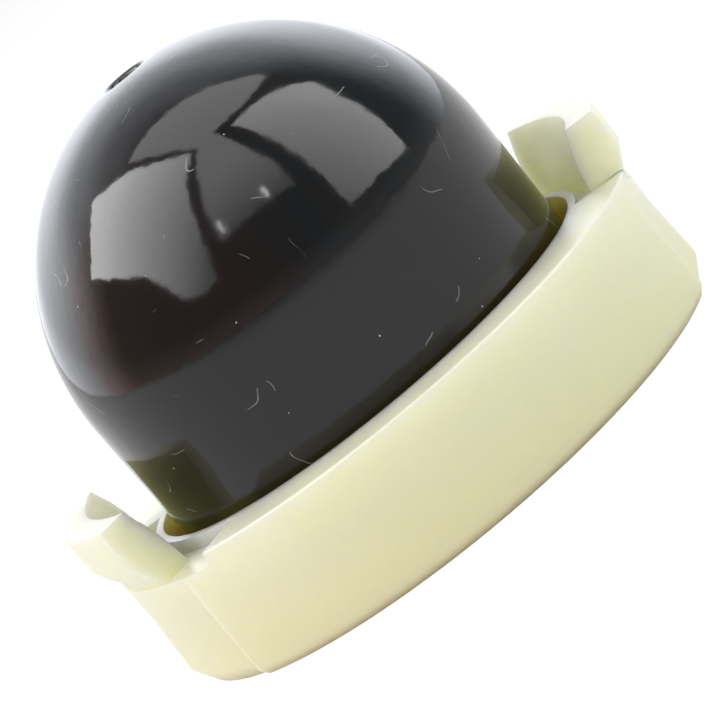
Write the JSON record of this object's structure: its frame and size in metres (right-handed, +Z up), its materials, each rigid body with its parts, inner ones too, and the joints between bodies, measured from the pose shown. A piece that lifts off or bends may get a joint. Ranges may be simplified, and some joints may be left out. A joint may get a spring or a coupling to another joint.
{
  "type": "primer bulb",
  "caption": "Hollow rubber dome with a small vent hole, held by its flange in a nylon retainer ring with two barbed snap tabs; pressed to prime a small engine.",
  "frame": {"origin": "centre of the ring's foot, on the surface it stands on", "axes": "+Z up the axis of the dome to its vent, X through the two snap tabs"},
  "size_m": [0.029, 0.028, 0.0218],
  "materials": {
    "rubber": "smooth glossy black moulded rubber",
    "nylon": "natural cream nylon, satin, slightly translucent"
  },
  "bodies": {
    "root": {"rubber_bulb": "rubber", "retainer_ring": "nylon"}
  },
  "joints": []
}
